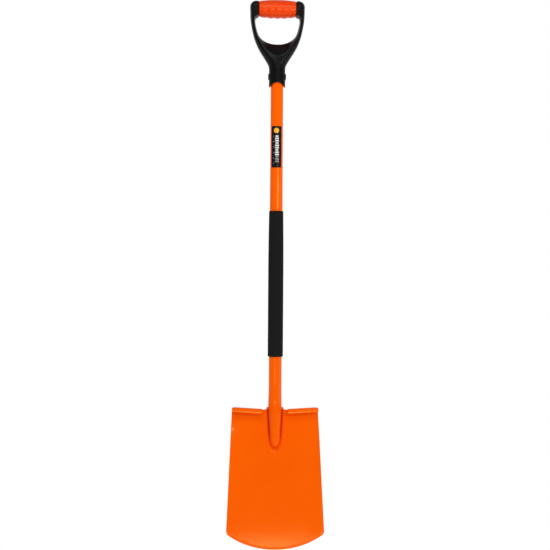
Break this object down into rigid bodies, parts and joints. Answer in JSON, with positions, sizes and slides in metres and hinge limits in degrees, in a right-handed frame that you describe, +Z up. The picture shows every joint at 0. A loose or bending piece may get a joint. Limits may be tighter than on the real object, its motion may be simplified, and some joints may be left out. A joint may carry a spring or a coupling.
{
  "type": "garden spade",
  "caption": "Digging spade with a dished steel blade, bent treads, cranked tube shaft with a foam sleeve, and a D-shaped handle with a soft grip.",
  "frame": {"origin": "level with the tip of the blade, under the middle of the whole spade", "axes": "+Z up along the shaft, +X to the right of someone looking at the dished face, -Y out of the dished face"},
  "size_m": [0.2068, 0.0752, 1.1682],
  "materials": {
    "orange_paint": "glossy orange powder coat over steel",
    "black_foam": "matte closed-cell foam, fine pores",
    "label_film": "printed film, satin gloss",
    "black_plastic": "satin moulded polypropylene",
    "soft_grip": "satin orange thermoplastic rubber, moulded ribs",
    "black_steel": "black-coated steel fastener"
  },
  "bodies": {
    "root": {"blade": "orange_paint", "shaft_tube": "orange_paint", "toe_weld": "orange_paint", "collar_weld": "orange_paint", "foam_sleeve": "black_foam", "shaft_label": "label_film", "handle_frame": "black_plastic", "handle_grip": "soft_grip", "handle_bolt": "black_steel", "handle_barrel_nut": "black_steel"}
  },
  "joints": []
}
